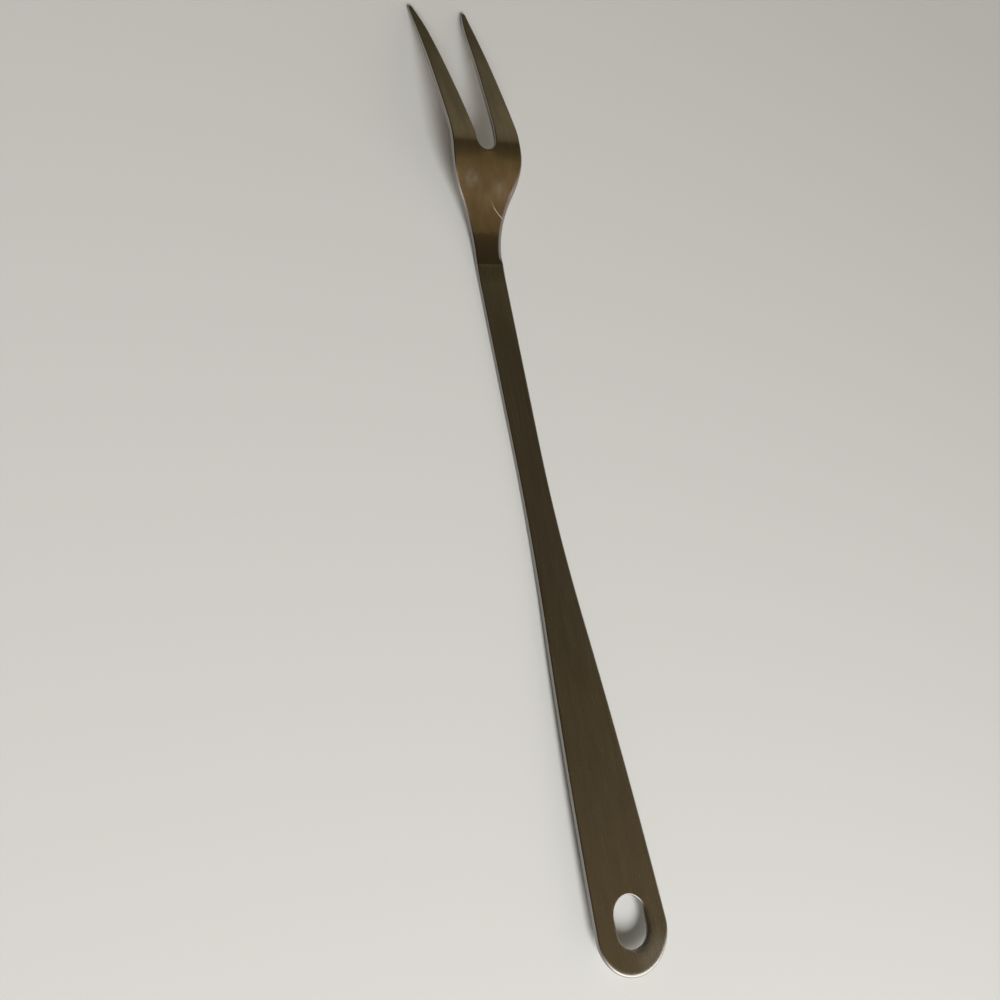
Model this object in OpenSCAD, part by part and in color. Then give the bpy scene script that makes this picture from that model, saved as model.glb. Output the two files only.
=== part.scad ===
// Two-tined carving fork of stainless sheet: a stamped head butt-welded to a stamped handle.
// It lies convex side up. X runs from the round end of the handle to the tips and Z points up.
// The origin is on the surface that the fork lies on, midway along its length.

/* [Sheet] */
// Thickness of the steel sheet
sheet_t = 1.8; // [1.4:0.1:2.4]
// Thickness that each tine is ground down to at its point
tip_t = 0.8; // [0.4:0.1:1.2]
// Length over which each tine is ground thinner
grind_l = 25; // [10:1:40]

/* [Handle outline] */
// Length of the handle, from its round end to the middle of the weld
handle_l = 232.6; // [200:0.2:260]
// Width of the grip at its round end
grip_w = 26.2; // [22:0.2:30]
// Width of the shank
shank_w = 10.4; // [9:0.2:12]
// Angle of each side of the grip to the centre line, where the round end starts
end_flare = 2; // [1:0.5:4]
// Radius of the long curve that bulges along each side of the grip
flank_r = 2050; // [1500:50:2800]
// Radius of the long hollow curve between the grip and the shank
waist_r = 760; // [500:20:900]

/* [Hanging slot] */
// Width of the slot, across the grip
slot_w = 11.4; // [9:0.2:14]
// Length of the slot, along the grip
slot_l = 16; // [15:0.2:24]
// Steel left between the slot and the round end
slot_margin = 8; // [5:0.1:12]

/* [Handle profile] */
// Length of the back of the handle that rises off the surface
rise_l = 173; // [150:1:190]
// Angle that the grip rises at
grip_rise = 1.65; // [0.5:0.05:3]
// Radius of the bend where the grip starts to rise
rise_r = 1800; // [1000:50:2500]

/* [Weld] */
// Width of the weld, along the fork
weld_w = 0.8; // [0.6:0.1:1.6]

/* [Head profile] */
// Distance from the weld back to the start of the bend that lifts the head
heel_back = 6.5; // [2:0.5:20]
// Radius of the bend that lifts the head
heel_r = 62; // [50:1:74]
// Angle of the sheet between the two bends of the head
lift_a = 28.5; // [25:0.5:31]
// Radius of the bend over the crest
crest_r = 25; // [16:1:34]
// Angle at which the tines leave the crest
tine_a = 11.8; // [10.6:0.2:15]
// Radius of the long curve of the tines
tine_r = 530; // [400:10:800]
// Length of the tines in plan, from the crest to the tips
tine_l = 56.8; // [54:0.2:75]

/* [Head outline] */
// Length of the straight tail, from the middle of the weld to the shoulders
tail_l = 3; // [1:0.5:8]
// Widest width of the head
head_w = 26.4; // [22:0.2:30]
// Radius of the hollow curve that each shoulder starts with
shoulder_in_r = 40; // [25:1:55]
// Radius of the full curve that each shoulder ends with
shoulder_out_r = 26; // [16:1:36]
// Length of solid root, from the end of the shoulders to the gap
root_l = 1.7; // [0.5:0.1:6]
// Angle that the outer edge of each tine closes in by
tine_taper = 1.6; // [0:0.2:3]
// Radius of the round bottom of the gap between the tines
gap_r = 3.6; // [2.4:0.2:5]
// Angle that each side of the gap opens at
gap_flare = 4.8; // [3:0.2:5.4]
// Radius of the curve that sweeps the inner edge of each tine out to its point
point_r = 76; // [60:1:110]
// Radius of each point, seen from above
tip_r = 0.9; // [0.5:0.1:1.1]

/* [Hidden] */

// How far a chord may stray from its arc
arc_tol = 0.01;
// How far a cutting shape passes the faces that it cuts
over = 1;
$fn = 96;

// Places along the fork are counted from the round end of the handle.
// The bends, in order from the heel to the tips, with heights taken at mid sheet.
heel_x = handle_l - heel_back;
tip_a = asin(sin(tine_a) + (tine_l - crest_r * sin(tine_a)) / tine_r);
tine_drop = crest_r * (1 - cos(tine_a)) + tine_r * (cos(tine_a) - cos(tip_a));
crest_z = tine_drop + tip_t / 2 * cos(tip_a);
bends_rise = (heel_r + crest_r) * (1 - cos(lift_a));
lift_run = (crest_z - sheet_t / 2 - bends_rise) / tan(lift_a);
lift_x = heel_x + heel_r * sin(lift_a) + lift_run;
crest_x = lift_x + crest_r * sin(lift_a);
tip_x = crest_x + tine_l;

// The curves of each side of the grip, met without a corner.
end_r = grip_w / 2;
grip_swell = end_r * cos(end_flare) - shank_w / 2;
grip_a = acos((waist_r + flank_r * cos(end_flare) - grip_swell) / (waist_r + flank_r));
flank_x = end_r * (1 + sin(end_flare)) + flank_r * (sin(grip_a) - sin(end_flare));
shank_x = flank_x + waist_r * sin(grip_a);

// The curves of each side of the head.
shoulder_a = acos(1 - (head_w - shank_w) / 2 / (shoulder_in_r + shoulder_out_r));
shoulder_x = handle_l + tail_l;
root_x = shoulder_x + (shoulder_in_r + shoulder_out_r) * sin(shoulder_a);
root_centre = [root_x, head_w / 2 - shoulder_out_r];
gap_centre = [root_x + root_l + gap_r, 0];

// The round of each point touches the tine's outer edge and its inner curve.
edge_normal = [sin(tine_taper), cos(tine_taper)];
tip_cx = tip_x - tip_r;
tip_reach = root_centre * edge_normal + shoulder_out_r - tip_r;
tip_centre = [tip_cx, (tip_reach - tip_cx * edge_normal[0]) / edge_normal[1]];
gap_dir = [cos(gap_flare), sin(gap_flare)];
gap_normal = [-sin(gap_flare), cos(gap_flare)];
gap_start = gap_centre + gap_r * gap_normal;
tip_along = (tip_centre - gap_start) * gap_dir;
tip_above = (tip_centre - gap_start) * gap_normal;
sweep_at = tip_along - sqrt(pow(point_r - tip_r, 2) - pow(point_r - tip_above, 2));
sweep_centre = gap_start + sweep_at * gap_dir + point_r * gap_normal;
sweep_end = atan2(tip_centre[1] - sweep_centre[1], tip_centre[0] - sweep_centre[0]);

// Angles from one end of an arc to the other, close enough for its radius
function arc_angles(r, from, to) =
    let (most = 2 * acos(1 - arc_tol / max(r, 1)), n = ceil(abs(to - from) / most))
    [for (i = [0:n]) from + (to - from) * i / n];

// Points of an arc of an outline
function arc(centre, r, from, to) =
    [for (a = arc_angles(r, from, to)) centre + r * [cos(a), sin(a)]];

// Places along a bend of the sheet, as [x, height, slope]. A bend upwards has a radius above zero.
function bend(x, z, r, from, to) =
    [for (a = arc_angles(abs(r), from, to))
        [x + r * (sin(a) - sin(from)), z + r * (cos(from) - cos(a)), a]];

// Half the sheet's thickness at a place along the fork
function half_t(x) = (sheet_t - (sheet_t - tip_t) * max(0, 1 - (tip_x - x) / grind_l)) / 2;

// A point of the sheet's face: above its middle for side 1, below it for side -1
function face_point(place, side) =
    [place[0], place[1]] + side * half_t(place[0]) * [-sin(place[2]), cos(place[2])];

function mirrored(points) = [for (i = [len(points) - 1:-1:0]) [points[i][0], -points[i][1]]];

// The middle of the sheet, seen from the side
rise_x = rise_l - rise_r * sin(grip_rise);
rise_z = sheet_t / 2 + rise_r * (1 - cos(grip_rise));
sheet_line = concat(
    [[-over, rise_z + (rise_x + over) * tan(grip_rise), -grip_rise]],
    bend(rise_x, rise_z, rise_r, -grip_rise, 0),
    bend(heel_x, sheet_t / 2, heel_r, 0, lift_a),
    bend(lift_x, crest_z - crest_r * (1 - cos(lift_a)), -crest_r, lift_a, -tine_a),
    bend(crest_x + crest_r * sin(tine_a), crest_z - crest_r * (1 - cos(tine_a)), -tine_r, -tine_a, -tip_a));
sheet_top = [for (place = sheet_line) face_point(place, 1)];
sheet_under = [for (i = [len(sheet_line) - 1:-1:0]) face_point(sheet_line[i], -1)];

// One side of each outline, from the centre line at its far end to the weld
head_side = concat(
    arc(gap_centre, gap_r, 180, 90 + gap_flare),
    arc(sweep_centre, point_r, gap_flare - 90, sweep_end),
    arc(tip_centre, tip_r, sweep_end, 90 - tine_taper),
    arc(root_centre, shoulder_out_r, 90 - tine_taper, 90 + shoulder_a),
    arc([shoulder_x, shank_w / 2 + shoulder_in_r], shoulder_in_r, shoulder_a - 90, -90),
    [[handle_l + weld_w / 2, shank_w / 2]]);
flank_y = shank_w / 2 + waist_r * (1 - cos(grip_a)) - flank_r * cos(grip_a);
handle_side = concat(
    arc([end_r, 0], end_r, 180, 90 - end_flare),
    arc([flank_x - flank_r * sin(grip_a), flank_y], flank_r, 90 - end_flare, 90 - grip_a),
    arc([shank_x, shank_w / 2 + waist_r], waist_r, -90 - grip_a, -90),
    [[handle_l - weld_w / 2, shank_w / 2]]);

// The bent sheet, wider than the fork
module bent_sheet() {
    rotate([90, 0, 0])
        linear_extrude(height = max(grip_w, head_w) + 2 * over, center = true)
            polygon(concat(sheet_top, sheet_under));
}

// The part of the bent sheet inside an outline, moved so that the origin is midway along the fork
module cut_from_sheet() {
    translate([-tip_x / 2, 0, 0])
        intersection() {
            bent_sheet();
            translate([0, 0, -over])
                linear_extrude(height = crest_z + sheet_t + 2 * over) children();
        }
}

module hanging_slot() {
    slot_r = slot_w / 2;
    for (x = [slot_margin + slot_r, slot_margin + slot_l - slot_r])
        translate([x, 0]) circle(r = slot_r);
    translate([slot_margin + slot_r, -slot_r]) square([slot_l - slot_w, slot_w]);
}

module fork_head() {
    color("#55503f")
        cut_from_sheet()
            polygon(concat(head_side, mirrored(head_side)));
}

module handle() {
    color("#5c5850")
        cut_from_sheet()
            difference() {
                polygon(concat(handle_side, mirrored(handle_side)));
                hanging_slot();
            }
}

module neck_weld() {
    color("#8a857c")
        cut_from_sheet()
            translate([handle_l - weld_w / 2, -shank_w / 2])
                square([weld_w, shank_w]);
}

fork_head();
handle();
neck_weld();
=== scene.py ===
"""Dresses the carving fork: rounded steel sheet in place of the square-edged solids, and its stage."""
import math
from bisect import bisect_right

import bmesh
import bpy
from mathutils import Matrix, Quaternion, Vector
from mathutils.geometry import delaunay_2d_cdt


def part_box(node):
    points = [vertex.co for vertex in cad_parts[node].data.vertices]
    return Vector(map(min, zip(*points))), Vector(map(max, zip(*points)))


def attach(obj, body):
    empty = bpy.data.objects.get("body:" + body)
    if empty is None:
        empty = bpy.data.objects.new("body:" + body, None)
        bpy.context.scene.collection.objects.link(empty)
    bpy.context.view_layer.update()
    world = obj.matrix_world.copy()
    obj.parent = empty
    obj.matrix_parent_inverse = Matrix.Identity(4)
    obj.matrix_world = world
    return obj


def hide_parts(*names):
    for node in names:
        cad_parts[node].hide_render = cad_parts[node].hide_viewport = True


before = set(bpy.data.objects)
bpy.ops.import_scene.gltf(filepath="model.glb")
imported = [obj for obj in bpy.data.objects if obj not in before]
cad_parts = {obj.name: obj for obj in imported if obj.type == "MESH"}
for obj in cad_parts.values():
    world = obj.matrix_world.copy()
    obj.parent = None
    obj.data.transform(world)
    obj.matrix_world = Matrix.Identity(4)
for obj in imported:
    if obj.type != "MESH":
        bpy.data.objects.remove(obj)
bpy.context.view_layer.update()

bl_info = {
    "name": "Carving Fork",
    "version": (1, 0, 0),
    "blender": (4, 5, 0),
    "location": "View3D > Sidebar > Fork",
    "description": "Builds a two-tined carving fork of stainless sheet and the stage that it lies on",
    "category": "Add Mesh",
}

MM = 0.001
HANDLE_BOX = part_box("handle")
HEAD_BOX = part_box("fork_head")
WELD_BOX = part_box("neck_weld")
BACK_X = HANDLE_BOX[0][0]
TIP_X = HEAD_BOX[1][0]


def length(name, description, default):
    return bpy.props.FloatProperty(
        name=name, description=description, default=default, min=0, unit="LENGTH", precision=4)


def angle(name, description, degrees):
    return bpy.props.FloatProperty(
        name=name, description=description, default=math.radians(degrees), subtype="ANGLE")


def share(name, description, default):
    return bpy.props.FloatProperty(
        name=name, description=description, default=default, min=0, max=1, subtype="FACTOR")


def colour(name, description, default):
    return bpy.props.FloatVectorProperty(
        name=name, description=description, default=default, size=3, min=0, max=1, subtype="COLOR")


class SheetSizes(bpy.types.PropertyGroup):
    thickness: length("Thickness", "Thickness of the steel sheet", 1.8 * MM)
    tip_thickness: length("Tip thickness", "Thickness of each tine at its point", 0.8 * MM)
    grind_length: length("Grind length", "Length over which each tine is ground thinner", 25 * MM)
    edge_width: length("Edge width", "How far in from the side the rounding of an edge starts", 0.5 * MM)
    edge_depth: length("Edge depth", "How far down the rounding of an edge reaches", 0.4 * MM)
    end_edge_width: length("End edge width", "Edge width round the end of the handle", 1.7 * MM)
    shoulder_edge_width: length("Shoulder edge width", "Edge width along the buffed shoulders", 2.1 * MM)
    tine_edge_width: length("Tine edge width", "Edge width along the tines", 0.55 * MM)
    tine_edge_depth: length("Tine edge depth", "Edge depth along the tines", 0.42 * MM)
    buffed_edge_depth: length("Buffed edge depth", "Edge depth round the end and along the shoulders", 0.78 * MM)
    roll_over_width: length("Roll-over width", "Width of the slot's rim where the punch rolled it over", 3 * MM)
    roll_over_depth: length("Roll-over depth", "Depth of the slot's rim where the punch rolled it over", 0.75 * MM)
    step: length("Step", "Longest distance between points along an outline", 0.8 * MM)


class HandleSizes(bpy.types.PropertyGroup):
    grip_width: length("Grip width", "Width of the grip at its round end", 26.2 * MM)
    shank_width: length("Shank width", "Width of the shank", WELD_BOX[1][1] - WELD_BOX[0][1])
    end_flare: angle("End flare", "Angle of the grip's sides where the round end starts", 2)
    flank_radius: length("Flank radius", "Radius of the bulging curve along the grip", 2050 * MM)
    waist_radius: length("Waist radius", "Radius of the hollow curve into the shank", 760 * MM)
    slot_width: length("Slot width", "Width of the hanging slot", 11.4 * MM)
    slot_length: length("Slot length", "Length of the hanging slot", 16 * MM)
    slot_margin: length("Slot margin", "Steel between the slot and the round end", 8 * MM)
    rise_length: length("Rise length", "Length of the back of the handle that rises", 173 * MM)
    rise: angle("Rise", "Angle that the grip rises at", 1.65)
    rise_radius: length("Rise radius", "Radius of the bend where the grip starts to rise", 1800 * MM)


class HeadSizes(bpy.types.PropertyGroup):
    heel_back: length("Heel back", "Distance from the weld back to the first bend", 6.5 * MM)
    heel_radius: length("Heel radius", "Radius of the bend that lifts the head", 62 * MM)
    lift: angle("Lift", "Angle of the sheet between the two bends", 28.5)
    crest_radius: length("Crest radius", "Radius of the bend over the crest", 25 * MM)
    tine_angle: angle("Tine angle", "Angle at which the tines leave the crest", 11.8)
    tine_radius: length("Tine radius", "Radius of the long curve of the tines", 530 * MM)
    tine_length: length("Tine length", "Length of the tines in plan", 56.8 * MM)
    tail: length("Tail", "Straight tail from the weld to the shoulders", 3 * MM)
    width: length("Width", "Widest width of the head", 26.4 * MM)
    shoulder_in: length("Hollow shoulder", "Radius of each shoulder's hollow curve", 40 * MM)
    shoulder_out: length("Full shoulder", "Radius of each shoulder's full curve", 26 * MM)
    root: length("Root", "Solid root from the shoulders to the gap", 1.7 * MM)
    taper: angle("Taper", "Angle that each tine's outer edge closes in by", 1.6)
    gap_radius: length("Gap radius", "Radius of the round bottom of the gap", 3.6 * MM)
    gap_flare: angle("Gap flare", "Angle that each side of the gap opens at", 4.8)
    point_radius: length("Point radius", "Radius of the sweep of the inner edge to the point", 76 * MM)
    tip_radius: length("Tip radius", "Radius of each point, seen from above", 0.9 * MM)


class SteelLook(bpy.types.PropertyGroup):
    head: colour("Head", "Colour of the polished head", (0.65, 0.59, 0.53))
    handle: colour("Handle", "Colour of the satin handle", (0.50, 0.49, 0.45))
    weld: colour("Weld", "Colour of the ground weld", (0.62, 0.60, 0.57))
    worn: colour("Worn edge", "Colour of an edge that polishing has brightened", (0.58, 0.56, 0.53))
    scuffed: colour("Scuffed", "Colour of scratches and scuffs", (0.80, 0.76, 0.68))
    # Partly the sheared steel of the wall, partly painted shade: the walls are darkened to stand in for the shadowed
    # floor that they reflect.
    sheared_and_shaded: colour("Sheared wall", "Colour of the sheared wall of the sheet", (0.30, 0.29, 0.28))
    # Painted dark reflection: the head's tail beside the weld is darkened in colour to stand in for the dark room
    # that the polished steel reflects.
    tail_dark_reflection: colour("Tail dark reflection", "Colour of the head's tail beside the weld", (0.32, 0.30, 0.30))
    stain: colour("Stain", "Colour of the water and heat stains", (0.41, 0.38, 0.34))
    head_roughness: share("Head roughness", "Roughness of the polished head", 0.14)
    handle_roughness: share("Handle roughness", "Roughness of the satin handle", 0.24)
    weld_roughness: share("Weld roughness", "Roughness of the ground weld", 0.22)


class StageLook(bpy.types.PropertyGroup):
    floor: colour("Floor", "Colour of the floor", (0.61, 0.61, 0.585))
    floor_size: length("Floor size", "Width of the floor", 6)
    lamp_distance: length("Lamp distance", "Distance of the main soft lamp", 1.4)
    lamp_size: length("Lamp size", "Width of the main soft lamp", 0.64)
    lamp_strength: bpy.props.FloatProperty(
        name="Lamp strength", description="Power of the main soft lamp", default=23.3, min=0, unit="POWER")
    backdrop: colour("Backdrop", "Colour of the plain backdrop behind the floor", (0.5, 0.49, 0.465))
    fade_start: length("Fade start", "Distance from the fork where the floor starts to fade into the backdrop", 0.32)
    fade_end: length("Fade end", "Distance from the fork where the floor has the colour of the backdrop", 0.72)
    camera_distance: length("Camera distance", "Distance from the camera to its target", 0.35685)
    camera_roll: angle("Camera roll", "Turn of the camera about its own view", 64.24)
    camera_lens: bpy.props.FloatProperty(
        name="Lens", description="Focal length of the camera", default=39.7, unit="CAMERA")


def arc(centre, radius, start, end, side, step):
    """Points of an arc as (place, outward normal). Side is 1 for a full edge and -1 for a hollow one."""
    count = max(3, math.ceil(abs(end - start) * radius / step), math.ceil(abs(end - start) / 0.12))
    points = []
    for i in range(count + 1):
        turn = start + (end - start) * i / count
        out = Vector((math.cos(turn), math.sin(turn)))
        points.append((centre + radius * out, side * out))
    return points


def close_up(points, step):
    """Adds points to the straight stretches between arcs, so that none is longer than a step."""
    filled = [points[0]]
    for (a, normal_a), (b, normal_b) in zip(points, points[1:]):
        count = max(1, math.ceil((b - a).length / step))
        for i in range(1, count + 1):
            t = i / count
            filled.append((a.lerp(b, t), normal_a.lerp(normal_b, t).normalized()))
    return [p for i, p in enumerate(filled) if i == 0 or (p[0] - filled[i - 1][0]).length > 1e-7]


def both_sides(side):
    """A side's outline from the weld round the far end and back along its mirror image."""
    flip = Vector((1, -1))
    return side + [(place * flip, normal * flip) for place, normal in reversed(side[:-1])]


class SheetLine:
    """The middle of the sheet, seen from the side, from the round end of the handle to the tips."""

    def __init__(self, sheet, handle, head):
        rise, lift, leave = handle.rise, head.lift, head.tine_angle
        tip = math.asin(math.sin(leave)
                        + (head.tine_length - head.crest_radius * math.sin(leave)) / head.tine_radius)
        drop = (head.crest_radius * (1 - math.cos(leave))
                + head.tine_radius * (math.cos(leave) - math.cos(tip)))
        crest = drop + sheet.tip_thickness / 2 * math.cos(tip)
        bends = (head.heel_radius + head.crest_radius) * (1 - math.cos(lift))
        run = (crest - sheet.thickness / 2 - bends) / math.sin(lift)
        self.places = [Vector((BACK_X, 0))]
        self.slopes = [-rise]
        flat_from = BACK_X + handle.rise_length
        heel_from = WELD_BOX[0][0] / 2 + WELD_BOX[1][0] / 2 - head.heel_back
        rise_bend = handle.rise_radius * math.sin(rise)
        self.straight((flat_from - rise_bend - BACK_X) / math.cos(rise), -rise)
        self.bend(handle.rise_radius, -rise, 0)
        self.straight(heel_from - flat_from, 0)
        self.bend(head.heel_radius, 0, lift)
        self.straight(run, lift)
        self.bend(-head.crest_radius, lift, -leave)
        self.bend(-head.tine_radius, -leave, -tip)
        lift_up = sheet.tip_thickness / 2 * math.cos(tip) - self.places[-1].y
        self.places = [place + Vector((0, lift_up)) for place in self.places]
        self.along = [0]
        for a, b in zip(self.places, self.places[1:]):
            self.along.append(self.along[-1] + (b - a).length)

    def straight(self, distance, slope):
        ahead = Vector((math.cos(slope), math.sin(slope)))
        count = max(1, math.ceil(distance / MM))
        for i in range(count):
            self.places.append(self.places[-1] + ahead * distance / count)
            self.slopes.append(slope)

    def bend(self, radius, start, end):
        count = max(2, math.ceil(abs(end - start) * abs(radius) / (0.4 * MM)))
        first = self.places[-1]
        for i in range(1, count + 1):
            slope = start + (end - start) * i / count
            self.places.append(first + radius * Vector((
                math.sin(slope) - math.sin(start), math.cos(start) - math.cos(slope))))
            self.slopes.append(slope)

    def distance_at(self, x):
        """Distance along the flat blank of a place given by its X on the bent fork."""
        i = min(max(bisect_right(self.places, x, key=lambda place: place.x), 1), len(self.places) - 1)
        a, b = self.places[i - 1], self.places[i]
        return self.along[i - 1] + (self.along[i] - self.along[i - 1]) * (x - a.x) / (b.x - a.x)

    def curve(self):
        data = bpy.data.curves.new("sheet_line", "CURVE")
        data.dimensions = "3D"
        spline = data.splines.new("POLY")
        spline.points.add(len(self.places) - 1)
        for point, place in zip(spline.points, self.places):
            point.co = (place.x, 0, place.y, 1)
        return bpy.data.objects.new("sheet_line", data)


def handle_outline(sheet, handle):
    """The outline of the handle and the outline of its slot."""
    step, quarter = sheet.step, math.pi / 2
    weld_x = WELD_BOX[0][0]
    end_r = handle.grip_width / 2
    half_shank = handle.shank_width / 2
    swell = end_r * math.cos(handle.end_flare) - half_shank
    turn = math.acos(
        (handle.waist_radius + handle.flank_radius * math.cos(handle.end_flare) - swell)
        / (handle.waist_radius + handle.flank_radius))
    flank_x = BACK_X + end_r * (1 + math.sin(handle.end_flare)) + handle.flank_radius * (
        math.sin(turn) - math.sin(handle.end_flare))
    shank_x = flank_x + handle.waist_radius * math.sin(turn)
    flank_centre = Vector((
        flank_x - handle.flank_radius * math.sin(turn),
        half_shank + handle.waist_radius * (1 - math.cos(turn)) - handle.flank_radius * math.cos(turn)))
    waist_centre = Vector((shank_x, half_shank + handle.waist_radius))
    side = [(Vector((weld_x, half_shank)), Vector((0, 1)))]
    side += arc(waist_centre, handle.waist_radius, -quarter, -quarter - turn, -1, step)
    side += arc(flank_centre, handle.flank_radius, quarter - turn, quarter - handle.end_flare, 1, step)
    side += arc(Vector((BACK_X + end_r, 0)), end_r, quarter - handle.end_flare, math.pi, 1, step)
    slot_r = handle.slot_width / 2
    ends = BACK_X + handle.slot_margin + slot_r
    far = ends + handle.slot_length - handle.slot_width
    slot = arc(Vector((far, 0)), slot_r, -quarter, quarter, -1, step / 2)
    slot += arc(Vector((ends, 0)), slot_r, quarter, 3 * quarter, -1, step / 2)
    return both_sides(close_up(side, step)), close_up(slot, step)


def head_outline(sheet, handle, head):
    """The outline of the head from the weld round one tine, the gap and the other tine."""
    step, quarter = sheet.step, math.pi / 2
    weld_x = WELD_BOX[1][0]
    half_shank = handle.shank_width / 2
    radii = head.shoulder_in + head.shoulder_out
    turn = math.acos(1 - (head.width / 2 - half_shank) / radii)
    shoulder_x = (WELD_BOX[0][0] + weld_x) / 2 + head.tail
    root_x = shoulder_x + radii * math.sin(turn)
    root = Vector((root_x, head.width / 2 - head.shoulder_out))
    gap = Vector((root_x + head.root + head.gap_radius, 0))
    edge = Vector((math.sin(head.taper), math.cos(head.taper)))
    tip_cx = TIP_X - head.tip_radius
    tip = Vector((tip_cx, (root.dot(edge) + head.shoulder_out - head.tip_radius - tip_cx * edge.x) / edge.y))
    ahead = Vector((math.cos(head.gap_flare), math.sin(head.gap_flare)))
    left = Vector((-ahead.y, ahead.x))
    start = gap + head.gap_radius * left
    along, above = (tip - start).dot(ahead), (tip - start).dot(left)
    sweep_at = along - math.sqrt(
        (head.point_radius - head.tip_radius) ** 2 - (head.point_radius - above) ** 2)
    sweep = start + sweep_at * ahead + head.point_radius * left
    sweep_end = math.atan2(tip.y - sweep.y, tip.x - sweep.x)
    side = [(Vector((weld_x, half_shank)), Vector((0, 1)))]
    side += arc(Vector((shoulder_x, half_shank + head.shoulder_in)), head.shoulder_in,
                -quarter, turn - quarter, -1, step)
    side += arc(root, head.shoulder_out, quarter + turn, quarter - head.taper, 1, step)
    side += arc(tip, head.tip_radius, quarter - head.taper, sweep_end, 1, step)
    side += arc(sweep, head.point_radius, sweep_end, head.gap_flare - quarter, 1, step)
    side += arc(gap, head.gap_radius, quarter + head.gap_flare, math.pi, -1, step)
    return both_sides(close_up(side, step))


# How the rounding of an edge is divided: angles down from the flat face to the wall
ROUND_STEPS = [math.radians(a) for a in (0, 15, 32, 50, 70, 90)]
SUPPORT = 0.35 * MM


def edge_rings(sheet, width, depth):
    """Insets and heights from the top face over the rounded edges and the wall to the under face."""
    half = sheet.thickness / 2
    upper = [(width * (1 - math.sin(a)), half - depth * (1 - math.cos(a))) for a in ROUND_STEPS]
    upper.insert(0, (width + SUPPORT, half))
    return upper + [(inset, -height) for inset, height in reversed(upper)]


def eased(value, start, end):
    """0 up to start and 1 from end on, with a smooth change between."""
    t = min(1, max(0, (value - start) / (end - start)))
    return t * t * (3 - 2 * t)


def between(a, b, t):
    return a + (b - a) * t


def handle_rounding(sheet):
    """Width and depth of the handle's edge at a place: wider round its end."""
    def at(place):
        end = 1 - eased(place.x - BACK_X, 4 * MM, 13 * MM)
        return (between(sheet.edge_width, sheet.end_edge_width, end),
                between(sheet.edge_depth, sheet.buffed_edge_depth, end))
    return at


def slot_rounding(sheet, outline):
    """Width and depth of the slot's edge at a place: rolled over where the punch leaned, at one corner."""
    middle = sum((place for place, normal in outline), Vector((0, 0))) / len(outline)
    lean = Vector((-0.5, -1)).normalized()

    def at(place):
        rolled = eased((place - middle).dot(lean), 1 * MM, 6 * MM)
        return (between(sheet.edge_width, sheet.roll_over_width, rolled),
                between(sheet.edge_depth, sheet.roll_over_depth, rolled))
    return at


def head_rounding(sheet):
    """Width and depth of the head's edge at a place: wide on one shoulder, which was buffed most."""
    weld_x = WELD_BOX[1][0]

    def at(place):
        out = place.x - weld_x
        shoulder = eased(out, 0, 2.5 * MM) * (1 - eased(out, 20 * MM, 34 * MM))
        shoulder *= between(1, 0.15, eased(place.y, -2 * MM, 2 * MM))
        tine = eased(out, 30 * MM, 37 * MM)
        width = between(between(sheet.edge_width, sheet.shoulder_edge_width, shoulder),
                        sheet.tine_edge_width, tine)
        depth = between(between(sheet.edge_depth, sheet.buffed_edge_depth, shoulder),
                        sheet.tine_edge_depth, tine)
        return width * between(0.5, 1, eased(TIP_X - place.x, 0.5 * MM, 6 * MM)), depth
    return at


class Blank:
    """A flat stamped blank, with X the distance along the sheet, Y across it and Z its thickness."""

    def __init__(self, sheet, line):
        self.sheet, self.line = sheet, line
        self.points, self.faces, self.edge_share = [], [], []
        self.cut_ends = []
        self.loops = []

    def edge(self, outline, closed, rounding_at):
        """Lays the rounded edge and the wall along an outline. Returns its top and under loops."""
        rings = None
        for place, normal in outline:
            profile = edge_rings(self.sheet, *rounding_at(place))
            rings = rings or [[] for _ in profile]
            for ring, (inset, height) in zip(rings, profile):
                spot = place - inset * normal
                ring.append(len(self.points))
                self.points.append((self.line.distance_at(spot.x), spot.y, height))
                self.edge_share.append(max(0.0, 1 - inset / profile[1][0]))
        count = len(outline)
        for upper, lower in zip(rings, rings[1:]):
            for i in range(count if closed else count - 1):
                j = (i + 1) % count
                self.faces.append((upper[i], upper[j], lower[j], lower[i]))
        self.loops.append(rings)
        return rings[0], rings[-1]

    def cut_end(self, corners):
        """Closes the blank with a face where it meets the next piece, with sharp edges all round."""
        self.cut_ends.append(len(self.faces))
        self.faces.append(corners)

    def fill(self, loops, inside):
        """Fills a face between its loops with triangles that span the sheet."""
        indices = [i for loop in loops for i in loop]
        flat = [Vector(self.points[i][:2]) for i in indices]
        triangles = delaunay_2d_cdt(flat, [], [], 0, 1e-9)[2]
        for triangle in triangles:
            middle = sum((flat[i] for i in triangle), Vector((0, 0))) / 3
            if inside(middle):
                self.faces.append([indices[i] for i in triangle])

    def mesh(self, name):
        data = bpy.data.meshes.new(name)
        data.from_pydata(self.points, [], self.faces)
        share_of_edge = data.attributes.new("edge_share", "FLOAT", "POINT")
        share_of_edge.data.foreach_set("value", self.edge_share)
        shell = bmesh.new()
        shell.from_mesh(data)
        shell.faces.ensure_lookup_table()
        for i in self.cut_ends:
            for edge in shell.faces[i].edges:
                edge.smooth = False
        bmesh.ops.recalc_face_normals(shell, faces=shell.faces)
        shell.to_mesh(data)
        shell.free()
        return bpy.data.objects.new(name, data)


def within(outline):
    """A test for whether a flat spot lies inside a closed outline."""
    pairs = list(zip(outline, outline[1:] + outline[:1]))

    def test(spot):
        crossings = 0
        for a, b in pairs:
            if (a[1] > spot[1]) != (b[1] > spot[1]):
                if spot[0] < a[0] + (spot[1] - a[1]) * (b[0] - a[0]) / (b[1] - a[1]):
                    crossings += 1
        return crossings % 2 == 1
    return test


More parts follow.
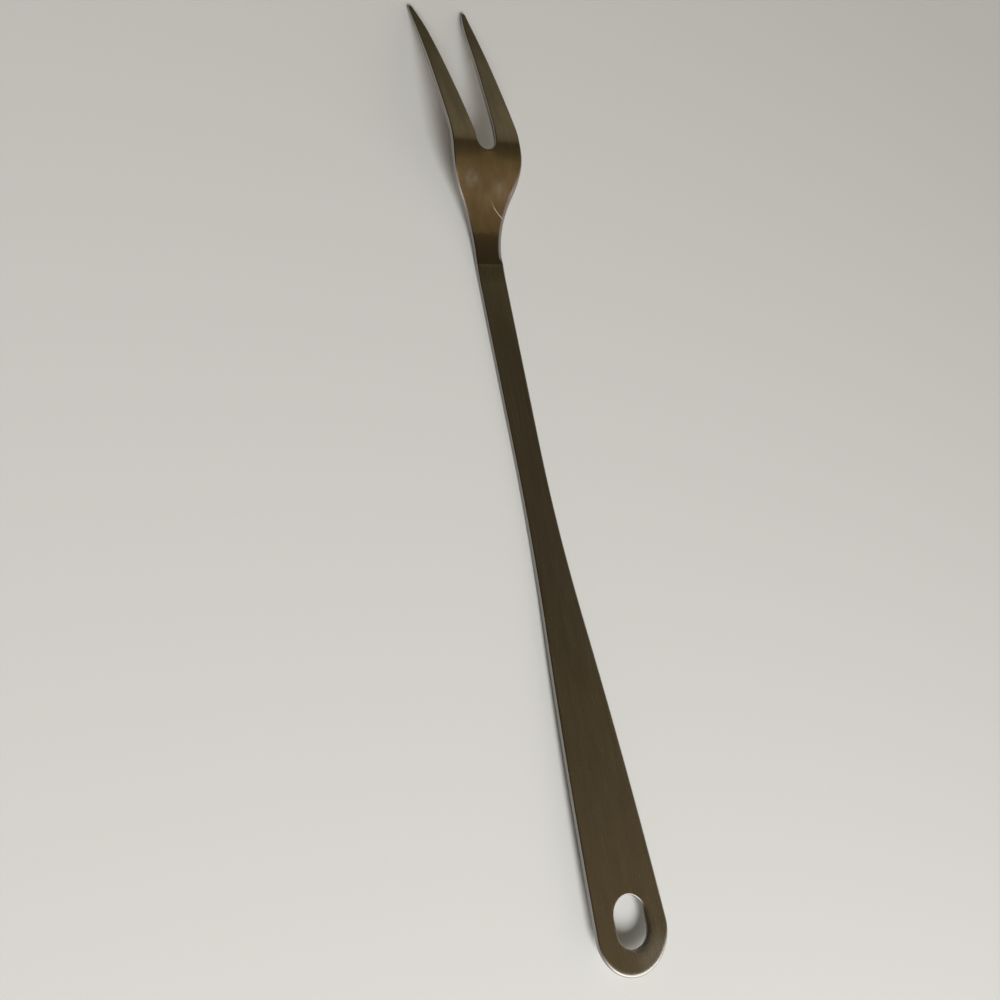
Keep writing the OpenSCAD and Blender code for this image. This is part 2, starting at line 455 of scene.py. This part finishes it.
def stamp(name, sheet, line, outline, rounding_at, holes=()):
    """A flat blank with an outline that is open at the weld, and closed holes."""
    blank = Blank(sheet, line)
    loops = [blank.edge(outline, False, rounding_at)]
    for hole in holes:
        loops.append(blank.edge(hole, True, slot_rounding(sheet, hole)))
    for layer in (0, 1):
        tests = [within([blank.points[i] for i in loop[layer]]) for loop in loops]
        blank.fill([loop[layer] for loop in loops],
                   lambda spot: tests[0](spot) and not any(test(spot) for test in tests[1:]))
    rings = blank.loops[0]
    blank.cut_end([ring[0] for ring in rings] + [ring[-1] for ring in reversed(rings)])
    return blank.mesh(name)


def bend_tree():
    """Bends a flat blank along the sheet line and thins it towards the tips."""
    tree = bpy.data.node_groups.new("Bend sheet", "GeometryNodeTree")
    sockets = tree.interface
    sockets.new_socket("Blank", in_out="INPUT", socket_type="NodeSocketGeometry")
    for name, kind in (
            ("Sheet line", "NodeSocketObject"), ("Steel", "NodeSocketMaterial"),
            ("Grind start", "NodeSocketFloat"), ("Grind end", "NodeSocketFloat"),
            ("Tip share", "NodeSocketFloat")):
        sockets.new_socket(name, in_out="INPUT", socket_type=kind)
    sockets.new_socket("Sheet", in_out="OUTPUT", socket_type="NodeSocketGeometry")
    nodes, links = tree.nodes, tree.links
    given = nodes.new("NodeGroupInput")
    line = nodes.new("GeometryNodeObjectInfo")
    sample = nodes.new("GeometryNodeSampleCurve")
    sample.mode = "LENGTH"
    place = nodes.new("GeometryNodeInputPosition")
    parts = nodes.new("ShaderNodeSeparateXYZ")
    up = nodes.new("ShaderNodeVectorMath")
    up.operation = "CROSS_PRODUCT"
    up.inputs[1].default_value = (0, 1, 0)
    thin = nodes.new("ShaderNodeMapRange")
    thin.inputs["To Min"].default_value = 1
    height = nodes.new("ShaderNodeMath")
    height.operation = "MULTIPLY"
    rise = nodes.new("ShaderNodeVectorMath")
    rise.operation = "SCALE"
    across = nodes.new("ShaderNodeCombineXYZ")
    add_rise = nodes.new("ShaderNodeVectorMath")
    add_across = nodes.new("ShaderNodeVectorMath")
    move = nodes.new("GeometryNodeSetPosition")
    smooth = nodes.new("GeometryNodeSetShadeSmooth")
    realize = nodes.new("GeometryNodeRealizeInstances")
    paint = nodes.new("GeometryNodeSetMaterial")
    out = nodes.new("NodeGroupOutput")
    links.new(given.outputs["Sheet line"], line.inputs["Object"])
    links.new(line.outputs["Geometry"], sample.inputs["Curves"])
    links.new(place.outputs[0], parts.inputs[0])
    links.new(parts.outputs["X"], sample.inputs["Length"])
    links.new(sample.outputs["Tangent"], up.inputs[0])
    links.new(parts.outputs["X"], thin.inputs["Value"])
    links.new(given.outputs["Grind start"], thin.inputs["From Min"])
    links.new(given.outputs["Grind end"], thin.inputs["From Max"])
    links.new(given.outputs["Tip share"], thin.inputs["To Max"])
    links.new(parts.outputs["Z"], height.inputs[0])
    links.new(thin.outputs["Result"], height.inputs[1])
    links.new(up.outputs[0], rise.inputs[0])
    links.new(height.outputs[0], rise.inputs["Scale"])
    links.new(parts.outputs["Y"], across.inputs["Y"])
    links.new(sample.outputs["Position"], add_rise.inputs[0])
    links.new(rise.outputs[0], add_rise.inputs[1])
    links.new(add_rise.outputs[0], add_across.inputs[0])
    links.new(across.outputs[0], add_across.inputs[1])
    links.new(given.outputs["Blank"], move.inputs["Geometry"])
    links.new(add_across.outputs[0], move.inputs["Position"])
    links.new(move.outputs[0], smooth.inputs[0])
    links.new(smooth.outputs[0], realize.inputs[0])
    links.new(realize.outputs[0], paint.inputs["Geometry"])
    links.new(given.outputs["Steel"], paint.inputs["Material"])
    links.new(paint.outputs[0], out.inputs[0])
    return tree


def shared_tree(name, build):
    return bpy.data.node_groups.get(name) or build()


def bend(flat, line, sheet, steel):
    """Turns a flat blank into the finished, bent piece under the blank's name."""
    name = flat.name
    flat.name = name + "_blank"
    scene = bpy.context.scene.collection
    curve = line.curve()
    scene.objects.link(flat)
    scene.objects.link(curve)
    modifier = flat.modifiers.new("Bend", "NODES")
    modifier.node_group = shared_tree("Bend sheet", bend_tree)
    settings = {
        "Sheet line": curve,
        "Steel": steel,
        "Grind start": line.along[-1] - sheet.grind_length,
        "Grind end": line.along[-1],
        "Tip share": sheet.tip_thickness / sheet.thickness,
    }
    for item in modifier.node_group.interface.items_tree:
        if item.in_out == "INPUT" and item.name in settings:
            modifier[item.identifier] = settings[item.name]
    bpy.context.view_layer.update()
    depsgraph = bpy.context.evaluated_depsgraph_get()
    data = bpy.data.meshes.new_from_object(flat.evaluated_get(depsgraph), depsgraph=depsgraph)
    for spare in (flat, curve):
        bpy.data.objects.remove(spare)
    data.name = name
    piece = bpy.data.objects.new(name, data)
    scene.objects.link(piece)
    return piece


def nodes_of(material):
    material.use_nodes = True
    tree = material.node_tree
    return tree, tree.nodes["Principled BSDF"]


class Wiring:
    """Short names for making nodes and joining them."""

    def __init__(self, tree):
        self.tree = tree

    def node(self, kind, **settings):
        node = self.tree.nodes.new(kind)
        for name, value in settings.items():
            setattr(node, name, value)
        return node

    def feed(self, socket, value):
        """Joins a socket to another one, or sets its number."""
        if isinstance(value, bpy.types.NodeSocket):
            self.tree.links.new(value, socket)
        else:
            socket.default_value = value

    def math(self, operation, *values, clamp=False):
        node = self.node("ShaderNodeMath", operation=operation, use_clamp=clamp)
        for socket, value in zip(node.inputs, values):
            self.feed(socket, value)
        return node.outputs[0]

    def remap(self, value, low, high, to_low=0.0, to_high=1.0, smooth=False):
        node = self.node("ShaderNodeMapRange", interpolation_type="SMOOTHSTEP" if smooth else "LINEAR")
        for name, amount in (("Value", value), ("From Min", low), ("From Max", high),
                             ("To Min", to_low), ("To Max", to_high)):
            self.feed(node.inputs[name], amount)
        return node.outputs["Result"]

    def mix(self, amount, first, second, blend="MIX"):
        node = self.node("ShaderNodeMix", data_type="RGBA", blend_type=blend)
        for socket, value in ((node.inputs[0], amount), (node.inputs[6], first), (node.inputs[7], second)):
            self.feed(socket, value)
        return node.outputs[2]

    def split(self, vector):
        node = self.node("ShaderNodeSeparateXYZ")
        self.feed(node.inputs[0], vector)
        return node.outputs

    def spot(self, *parts):
        node = self.node("ShaderNodeCombineXYZ")
        for socket, value in zip(node.inputs, parts):
            self.feed(socket, value)
        return node.outputs[0]

    def noise(self, where, detail, roughness=0.5):
        node = self.node("ShaderNodeTexNoise")
        self.feed(node.inputs["Vector"], where)
        node.inputs["Scale"].default_value = 1
        node.inputs["Detail"].default_value = detail
        node.inputs["Roughness"].default_value = roughness
        return node.outputs["Fac"]

    def place(self):
        return self.node("ShaderNodeTexCoord").outputs["Object"]

    def ramp(self, value, stops):
        node = self.node("ShaderNodeValToRGB")
        elements = node.color_ramp.elements
        while len(elements) < len(stops):
            elements.new(0.5)
        for element, (position, tint) in zip(elements, stops):
            element.position = position
            element.color = (*tint, 1)
        self.feed(node.inputs["Fac"], value)
        return node.outputs["Color"]

    def group(self, name, build, **values):
        node = self.node("ShaderNodeGroup", node_tree=shared_tree(name, build))
        for key, value in values.items():
            self.feed(node.inputs[key.replace("_", " ").capitalize()], value)
        return node.outputs


def new_group(name, inputs, outputs):
    """An empty shader group with named numbers in and out. Returns its wiring, inputs and outputs."""
    tree = bpy.data.node_groups.new(name, "ShaderNodeTree")
    for title, value in inputs.items():
        kind = "NodeSocketFloat" if isinstance(value, (int, float)) else "NodeSocketVector"
        tree.interface.new_socket(title, in_out="INPUT", socket_type=kind).default_value = value
    for title in outputs:
        tree.interface.new_socket(title, in_out="OUTPUT", socket_type="NodeSocketFloat")
    wire = Wiring(tree)
    return wire, wire.node("NodeGroupInput").outputs, wire.node("NodeGroupOutput").inputs


def grain_group():
    """Noise drawn out along the fork: fine brush lines and broad streaks. Sizes in millimetres."""
    wire, given, out = new_group(
        "Drawn grain", {"Line width": 0.25, "Streak width": 3.0, "Length": 40.0}, ("Line", "Streak"))
    x, y, z = wire.split(wire.place())
    along = wire.math("DIVIDE", x, wire.math("MULTIPLY", given["Length"], MM))
    for result, width in (("Line", "Line width"), ("Streak", "Streak width")):
        across = wire.math("MULTIPLY", given[width], MM)
        spot = wire.spot(along, wire.math("DIVIDE", y, across), wire.math("DIVIDE", z, across))
        wire.feed(out[result], wire.noise(spot, 3))
    return wire.tree


def edge_group():
    """Masks for the polished rounding of an edge and for the wall under it, whose darker colour is partly sheared
    steel and partly painted shade.
    """
    wire, given, out = new_group("Edge masks", {"Wear": 1.0}, ("Worn", "Sheared"))
    attribute = wire.node("ShaderNodeAttribute", attribute_name="edge_share")
    share_of_edge = attribute.outputs["Fac"]
    rounding = wire.math("MULTIPLY", wire.remap(share_of_edge, 0.1, 0.6, smooth=True),
                         wire.remap(share_of_edge, 0.86, 0.995, 1, 0, smooth=True))
    wire.feed(out["Worn"], wire.math("MULTIPLY", rounding, given["Wear"]))
    wire.feed(out["Sheared"], wire.remap(share_of_edge, 0.9, 1.0, smooth=True))
    return wire.tree


def speck_group():
    """Pale specks inside a soft round patch. Sizes in millimetres."""
    wire, given, out = new_group(
        "Speck patch", {"Centre": (0, 0, 0), "Radius": 4.0, "Speck width": 0.4, "Cover": 0.3}, ("Mask",))
    place = wire.place()
    away = wire.node("ShaderNodeVectorMath", operation="DISTANCE")
    wire.feed(away.inputs[0], place)
    wire.feed(away.inputs[1], given["Centre"])
    share_out = wire.math("DIVIDE", away.outputs["Value"], wire.math("MULTIPLY", given["Radius"], MM))
    inside = wire.remap(share_out, 1.0, 0.0, smooth=True)
    x, y, z = wire.split(place)
    width = wire.math("MULTIPLY", given["Speck width"], MM)
    spot = wire.spot(wire.math("DIVIDE", x, wire.math("MULTIPLY", width, 1.4)),
                     wire.math("DIVIDE", y, width), wire.math("DIVIDE", z, width))
    uneven = wire.noise(wire.spot(*[wire.math("MULTIPLY", part, 760.0) for part in (x, y, z)]), 3)
    inside = wire.math("MULTIPLY", inside, wire.remap(uneven, 0.2, 0.6, 0.8, 1))
    level = wire.math("SUBTRACT", 0.72, wire.math("MULTIPLY", given["Cover"], inside))
    specks = wire.remap(wire.noise(spot, 4, 0.8), level, wire.math("ADD", level, 0.12))
    wire.feed(out["Mask"], wire.math("MULTIPLY", specks, inside))
    return wire.tree


def haze_group():
    """A soft round patch, full at its centre and fading out to its radius. Sizes in millimetres."""
    wire, given, out = new_group("Haze", {"Centre": (0, 0, 0), "Radius": 8.0}, ("Mask",))
    away = wire.node("ShaderNodeVectorMath", operation="DISTANCE")
    wire.feed(away.inputs[0], wire.place())
    wire.feed(away.inputs[1], given["Centre"])
    share_out = wire.math("DIVIDE", away.outputs["Value"], wire.math("MULTIPLY", given["Radius"], MM))
    wire.feed(out["Mask"], wire.remap(share_out, 1.0, 0.2, smooth=True))
    return wire.tree


def scratch_group():
    """A thin curved scratch from one place to another, seen from above. Sizes in millimetres."""
    wire, given, out = new_group(
        "Scratch", {"Start": (0, 0, 0), "End": (0.01, 0, 0), "Width": 0.3, "Sag": 0.3}, ("Mask",))

    def flat(vector):
        x, y, z = wire.split(vector)
        return wire.spot(x, y, 0.0)

    def join(operation, a, b):
        node = wire.node("ShaderNodeVectorMath", operation=operation)
        wire.feed(node.inputs[0], a)
        wire.feed(node.inputs[1], b)
        return node.outputs["Value" if operation in ("DOT_PRODUCT", "DISTANCE") else "Vector"]

    start = flat(given["Start"])
    reach = join("SUBTRACT", flat(given["End"]), start)
    offset = join("SUBTRACT", flat(wire.place()), start)
    squared = join("DOT_PRODUCT", reach, reach)
    along = wire.math("DIVIDE", join("DOT_PRODUCT", offset, reach), squared)
    turned = wire.split(reach)
    side = wire.spot(wire.math("MULTIPLY", turned[1], -1.0), turned[0], 0.0)
    across = wire.math("DIVIDE", join("DOT_PRODUCT", offset, side), wire.math("SQRT", squared))
    bow = wire.math("MULTIPLY", wire.math("MULTIPLY", along, wire.math("SUBTRACT", 1.0, along)), 4.0)
    bow = wire.math("MULTIPLY", wire.math("MULTIPLY", bow, given["Sag"]), MM)
    distance = wire.math("ABSOLUTE", wire.math("SUBTRACT", across, bow))
    half = wire.math("MULTIPLY", given["Width"], MM / 2)
    line = wire.remap(wire.math("DIVIDE", distance, half), 1.2, 0.3, smooth=True)
    ends = wire.math("MULTIPLY", wire.remap(along, -0.04, 0.5, smooth=True),
                     wire.remap(along, 1.04, 0.8, smooth=True))
    wire.feed(out["Mask"], wire.math("MULTIPLY", line, ends))
    return wire.tree


def dark_reflection_band_group():
    """A band across the fork with a mottled edge, from one X to another, in which a dark reflection is painted."""
    wire, given, out = new_group("Heat band", {"Start": 0.0, "End": 0.01}, ("Mask",))
    place = wire.place()
    x, y, z = wire.split(place)
    mottle = wire.noise(wire.spot(*[wire.math("MULTIPLY", part, 1300.0) for part in (x, y, z)]), 3)
    shifted = wire.math("ADD", x, wire.math("MULTIPLY", wire.math("SUBTRACT", mottle, 0.5), 4 * MM))
    wire.feed(out["Mask"], wire.remap(shifted, given["Start"], given["End"], smooth=True))
    return wire.tree


def steel(name, tint, roughness, look, streaks, line_tint, line_bump, marks=()):
    """A satin or polished steel with drawn grain, stains and worn edges, and any marks given: pale scuffs and specks,
    and a painted dark reflection.
    """
    material = bpy.data.materials.new(name)
    tree, shader = nodes_of(material)
    wire = Wiring(tree)
    grain = wire.group("Drawn grain", grain_group)
    edge = wire.group("Edge masks", edge_group)
    base = wire.mix(wire.remap(grain["Streak"], 0.3, 0.7),
                    (*[c * (1 - streaks) for c in tint], 1), (*[c * (1 + streaks) for c in tint], 1))
    cloud = wire.noise(wire.spot(*[wire.math("MULTIPLY", part, size) for part, size in zip(
        wire.split(wire.place()), (38.0, 120.0, 120.0))]), 4, 0.6)
    base = wire.mix(wire.remap(cloud, 0.48, 0.72, 0, 0.45, smooth=True), base, (*look.stain, 1))
    base = wire.mix(wire.remap(grain["Line"], 0.3, 0.7, 0.0, line_tint), base, (*look.scuffed, 1))
    rough = wire.remap(grain["Line"], 0.25, 0.75, roughness - 0.05, roughness + 0.05)
    metal = 1.0
    for shine, strength, mark in marks:
        mask = wire.math("MULTIPLY", mark(wire), strength)
        base = wire.mix(mask, base, (*getattr(look, shine), 1))
        if shine == "scuffed":
            rough = wire.math("ADD", rough, wire.math("MULTIPLY", mask, 0.3))
            metal = wire.math("SUBTRACT", metal, wire.math("MULTIPLY", mask, 0.7))
    wire.feed(shader.inputs["Metallic"], metal)
    base = wire.mix(edge["Worn"], base, (*look.worn, 1))
    # Painted shade on the walls, on top of the darker sheared steel.
    base = wire.mix(edge["Sheared"], base, (*look.sheared_and_shaded, 1))
    rough = wire.math("ADD", rough, wire.math("MULTIPLY", edge["Sheared"], 0.08))
    wire.feed(shader.inputs["Base Color"], base)
    wire.feed(shader.inputs["Roughness"], rough)
    bump = wire.node("ShaderNodeBump")
    bump.inputs["Strength"].default_value = line_bump
    bump.inputs["Distance"].default_value = 0.01 * MM
    wire.feed(bump.inputs["Height"], grain["Line"])
    wire.feed(shader.inputs["Normal"], bump.outputs["Normal"])
    return material


def finish_piece(piece, node):
    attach(piece, "root")
    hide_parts(node)


class FORK_OT_handle(bpy.types.Operator):
    """Make the handle: shank, grip and punched hanging slot"""
    bl_idname = "fork.handle"
    bl_label = "Handle"

    marks = (
        # A pale, duller patch on the right of the round end of the handle.
        ("scuffed", 0.08, lambda wire: wire.group("Haze", haze_group, centre=(-0.1610, -0.0065, 0.0059),
                                                  radius=10.0)["Mask"]),
    )

    def execute(self, context):
        scene = context.scene
        sheet, handle, look = scene.fork_sheet, scene.fork_handle, scene.fork_steel
        line = SheetLine(sheet, handle, scene.fork_head)
        outline, slot = handle_outline(sheet, handle)
        flat = stamp("handle_sheet", sheet, line, outline, handle_rounding(sheet), [slot])
        brushed = steel("handle_steel", look.handle, look.handle_roughness, look, 0.06, 0.03, 0.3, self.marks)
        finish_piece(bend(flat, line, sheet, brushed), "handle")
        return {"FINISHED"}


class FORK_OT_head(bpy.types.Operator):
    """Make the head: shoulders, root, gap and two tines"""
    bl_idname = "fork.head"
    bl_label = "Head"

    # Marks on the head: the colour that each has in the look, how strong it is, and its mask
    marks = (
        # The first mark is a painted dark reflection on the head's tail beside the weld; the scratch and the specks
        # are real marks.
        ("tail_dark_reflection", 0.85, lambda wire: wire.group("Heat band", dark_reflection_band_group, start=0.0795, end=0.0768)["Mask"]),
        ("scuffed", 0.6, lambda wire: wire.group("Scratch", scratch_group, start=(0.0887, -0.0012, 0),
                                                 end=(0.0825, -0.0068, 0), width=0.26, sag=-0.6)["Mask"]),
        ("scuffed", 0.26, lambda wire: wire.group("Speck patch", speck_group, centre=(0.0943, 0.0062, 0.0115),
                                                  radius=9.5, speck_width=0.18, cover=0.27)["Mask"]),
        ("scuffed", 0.18, lambda wire: wire.group("Speck patch", speck_group, centre=(0.0918, -0.0046, 0.0105),
                                                 radius=11.0, speck_width=0.18, cover=0.26)["Mask"]),
    )

    def execute(self, context):
        scene = context.scene
        sheet, handle, head, look = scene.fork_sheet, scene.fork_handle, scene.fork_head, scene.fork_steel
        line = SheetLine(sheet, handle, head)
        outline = head_outline(sheet, handle, head)
        flat = stamp("head_sheet", sheet, line, outline, head_rounding(sheet))
        polished = steel("head_steel", look.head, look.head_roughness, look, 0.11, 0.12, 0.15, self.marks)
        finish_piece(bend(flat, line, sheet, polished), "fork_head")
        return {"FINISHED"}


class FORK_OT_weld(bpy.types.Operator):
    """Make the weld between the head and the handle"""
    bl_idname = "fork.weld"
    bl_label = "Weld"

    def execute(self, context):
        scene = context.scene
        sheet, handle, look = scene.fork_sheet, scene.fork_handle, scene.fork_steel
        line = SheetLine(sheet, handle, scene.fork_head)
        blank = Blank(sheet, line)
        half = handle.shank_width / 2
        ends = WELD_BOX[1][0], WELD_BOX[0][0]
        def edge_size(place):
            return sheet.edge_width, sheet.edge_depth

        near = blank.edge([(Vector((x, half)), Vector((0, 1))) for x in ends], False, edge_size)
        far = blank.edge([(Vector((x, -half)), Vector((0, -1))) for x in reversed(ends)], False, edge_size)
        blank.faces.append([near[0][0], near[0][1], far[0][0], far[0][1]])
        blank.faces.append([far[1][1], far[1][0], near[1][1], near[1][0]])
        near_rings, far_rings = blank.loops
        blank.cut_end([ring[0] for ring in near_rings] + [ring[1] for ring in reversed(far_rings)])
        blank.cut_end([ring[0] for ring in far_rings] + [ring[1] for ring in reversed(near_rings)])
        ground = steel("weld_steel", look.weld, look.weld_roughness, look, 0.06, 0.03, 0.3)
        finish_piece(bend(blank.mesh("weld_strip"), line, sheet, ground), "neck_weld")
        return {"FINISHED"}


class FORK_OT_stage(bpy.types.Operator):
    """Make the floor, the backdrop, the soft lamp, the surroundings and the camera"""
    bl_idname = "fork.stage"
    bl_label = "Stage"

    camera_target = Vector((-0.01301, 0.01324, -0.00005))
    view_direction = Vector((0.1564, -0.5106, -0.8455))
    light_from = Vector((-1.34, 0.26, 1))

    def execute(self, context):
        look = context.scene.fork_stage
        self.camera(context, look)
        self.floor(context, look)
        self.backdrop(context, look)
        self.lamp(context, look)
        self.surroundings(context)
        context.scene.view_settings.view_transform = "Standard"
        return {"FINISHED"}

    def camera(self, context, look):
        data = bpy.data.cameras.new("camera")
        data.lens = look.camera_lens
        data.clip_start = 0.01
        camera = bpy.data.objects.new("camera", data)
        aim = self.view_direction.normalized()
        camera.location = self.camera_target - look.camera_distance * aim
        camera.rotation_mode = "QUATERNION"
        camera.rotation_quaternion = Quaternion(aim, -look.camera_roll) @ aim.to_track_quat("-Z", "Y")
        context.scene.collection.objects.link(camera)
        context.scene.camera = camera

    def floor(self, context, look):
        half = look.floor_size / 2
        data = bpy.data.meshes.new("floor")
        data.from_pydata([(-half, -half, 0), (half, -half, 0), (half, half, 0), (-half, half, 0)], [], [(0, 1, 2, 3)])
        floor = bpy.data.objects.new("floor", data)
        material = bpy.data.materials.new("floor")
        tree, shader = nodes_of(material)
        shader.inputs["Base Color"].default_value = (*look.floor, 1)
        shader.inputs["Roughness"].default_value = 0.9
        wire = Wiring(tree)
        output = shader.outputs["BSDF"].links[0].to_socket
        away = wire.node("ShaderNodeVectorMath", operation="LENGTH")
        wire.feed(away.inputs[0], wire.place())
        fade = wire.remap(away.outputs["Value"], look.fade_start, look.fade_end, smooth=True)
        fade = wire.math("MULTIPLY", fade, wire.node("ShaderNodeLightPath").outputs["Is Camera Ray"])
        glow = wire.node("ShaderNodeEmission")
        glow.inputs["Color"].default_value = (*look.backdrop, 1)
        both = wire.node("ShaderNodeMixShader")
        for socket, value in zip(both.inputs, (fade, shader.outputs["BSDF"], glow.outputs["Emission"])):
            wire.feed(socket, value)
        wire.feed(output, both.outputs["Shader"])
        material.cycles.emission_sampling = "NONE"
        data.materials.append(material)
        context.scene.collection.objects.link(floor)

    def backdrop(self, context, look):
        """A plain wall round the floor that only the camera sees, so that the steel reflects the room."""
        radius, height, count = look.floor_size * 0.48, look.floor_size * 0.6, 64
        ring = [Vector((math.cos(turn), math.sin(turn), 0)) * radius
                for turn in (2 * math.pi * i / count for i in range(count))]
        top = Vector((0, 0, height))
        data = bpy.data.meshes.new("backdrop")
        data.from_pydata([*ring, *(place + top for place in ring)], [], [
            (i, (i + 1) % count, count + (i + 1) % count, count + i) for i in range(count)])
        backdrop = bpy.data.objects.new("backdrop", data)
        material = bpy.data.materials.new("backdrop")
        shader = nodes_of(material)[1]
        shader.inputs["Base Color"].default_value = (0, 0, 0, 1)
        shader.inputs["Emission Color"].default_value = (*look.backdrop, 1)
        shader.inputs["Emission Strength"].default_value = 1
        shader.inputs["Specular IOR Level"].default_value = 0
        material.cycles.emission_sampling = "NONE"
        data.materials.append(material)
        for rays in ("diffuse", "glossy", "transmission", "volume_scatter", "shadow"):
            setattr(backdrop, "visible_" + rays, False)
        context.scene.collection.objects.link(backdrop)

    def lamp(self, context, look):
        data = bpy.data.lights.new("soft_lamp", "AREA")
        data.shape = "DISK"
        data.size = look.lamp_size
        data.energy = look.lamp_strength
        lamp = bpy.data.objects.new("soft_lamp", data)
        lamp.visible_glossy = False
        away = self.light_from.normalized()
        lamp.location = away * look.lamp_distance
        lamp.rotation_mode = "QUATERNION"
        lamp.rotation_quaternion = (-away).to_track_quat("-Z", "Y")
        context.scene.collection.objects.link(lamp)

    # Light of the room along the fork: direction's X part, and the colour there
    room = (
        (-1.0, (0.212, 0.152, 0.083)), (-0.45, (0.191, 0.128, 0.061)), (-0.3, (0.156, 0.106, 0.049)),
        (-0.18, (0.139, 0.098, 0.043)), (-0.07, (0.106, 0.075, 0.032)), (0.0, (0.083, 0.0585, 0.0255)),
        (0.1, (0.066, 0.0496, 0.0233)), (0.2, (0.055, 0.0418, 0.0198)), (0.3, (0.0464, 0.0357, 0.0151)),
        (0.335, (0.06, 0.0464, 0.0238)), (0.4, (0.115, 0.095, 0.0527)), (0.55, (0.1315, 0.1134, 0.0703)),
        (0.72, (0.1315, 0.1134, 0.0676)), (0.77, (0.103, 0.0912, 0.0554)), (0.82, (0.07, 0.061, 0.0365)),
        (0.9, (0.045, 0.04, 0.0237)),
    )

    def surroundings(self, context):
        world = bpy.data.worlds.new("surroundings")
        world.use_nodes = True
        wire = Wiring(world.node_tree)
        direction = wire.node("ShaderNodeTexCoord").outputs["Generated"]
        x, y, z = wire.split(direction)
        room = wire.ramp(wire.remap(x, -1.0, 1.0), [((at + 1) / 2, tint) for at, tint in self.room])
        room = wire.mix(wire.remap(y, -0.45, 0.0, smooth=True), room, (0.034, 0.026, 0.016, 1))
        top = wire.remap(x, -0.1, -0.6, 0.42, 0.66, smooth=True)
        low = wire.math("MAXIMUM", wire.remap(wire.math("SUBTRACT", top, z), 0.0, 0.3, smooth=True),
                        wire.remap(y, -0.64, -0.8, smooth=True))
        low = wire.math("MULTIPLY", low, wire.math("MAXIMUM", wire.remap(x, 0.5, 0.15, smooth=True),
                                                   wire.remap(y, 0.0, 0.4, smooth=True)))
        horizon = wire.mix(wire.remap(y, -0.1, 0.3, smooth=True), (0.34, 0.3, 0.28, 1), (0.3, 0.26, 0.23, 1))
        beyond = wire.math("MULTIPLY", wire.remap(x, 0.54, 0.7, smooth=True), wire.remap(
            wire.math("ABSOLUTE", wire.math("ADD", y, 0.28)), 0.3, 0.4, smooth=True))
        beyond = wire.math("MULTIPLY", beyond, wire.remap(z, 0.4, 0.26, smooth=True))
        room = wire.mix(wire.math("MAXIMUM", low, beyond), room, horizon)
        window = wire.math("MULTIPLY", wire.remap(x, -0.4, -0.52, smooth=True),
                           wire.remap(y, 0.4, 0.2, smooth=True))
        window = wire.math("MULTIPLY", window, wire.remap(z, 0.7, 0.62, smooth=True))
        window = wire.math("MULTIPLY", window, wire.remap(z, 0.06, 0.16, smooth=True))
        room = wire.mix(window, room, (1.8, 1.77, 1.7, 1))
        towards = wire.node("ShaderNodeVectorMath", operation="DOT_PRODUCT")
        towards.inputs[1].default_value = self.light_from.normalized()
        wire.feed(towards.inputs[0], direction)
        glow = wire.ramp(towards.outputs["Value"], [
            (0, (0, 0, 0)), (0.78, (0, 0, 0)), (0.9, (0.14, 0.12, 0.1)), (1, (0.6, 0.55, 0.5))])
        wire.feed(world.node_tree.nodes["Background"].inputs["Color"], wire.mix(1.0, room, glow, "ADD"))
        context.scene.world = world


class FORK_PT_panel(bpy.types.Panel):
    """Lists what the fork is made of"""
    bl_idname = "FORK_PT_panel"
    bl_label = "Carving Fork"
    bl_space_type = "VIEW_3D"
    bl_region_type = "UI"
    bl_category = "Fork"

    def draw(self, context):
        for operator in OPERATORS:
            self.layout.operator(operator.bl_idname)
        for name in GROUPS:
            box = self.layout.box()
            group = getattr(context.scene, name)
            for prop in group.bl_rna.properties:
                if not prop.is_readonly and prop.identifier != "name":
                    box.prop(group, prop.identifier)


GROUPS = {
    "fork_sheet": SheetSizes,
    "fork_handle": HandleSizes,
    "fork_head": HeadSizes,
    "fork_steel": SteelLook,
    "fork_stage": StageLook,
}
OPERATORS = (FORK_OT_handle, FORK_OT_head, FORK_OT_weld, FORK_OT_stage)
CLASSES = (*GROUPS.values(), *OPERATORS, FORK_PT_panel)


def register():
    for cls in CLASSES:
        bpy.utils.register_class(cls)
    for name, group in GROUPS.items():
        setattr(bpy.types.Scene, name, bpy.props.PointerProperty(type=group))


def unregister():
    for name in GROUPS:
        delattr(bpy.types.Scene, name)
    for cls in reversed(CLASSES):
        bpy.utils.unregister_class(cls)


def main():
    register()
    bpy.ops.fork.stage()
    bpy.ops.fork.handle()
    bpy.ops.fork.head()
    bpy.ops.fork.weld()


if __name__ == "__main__":
    main()
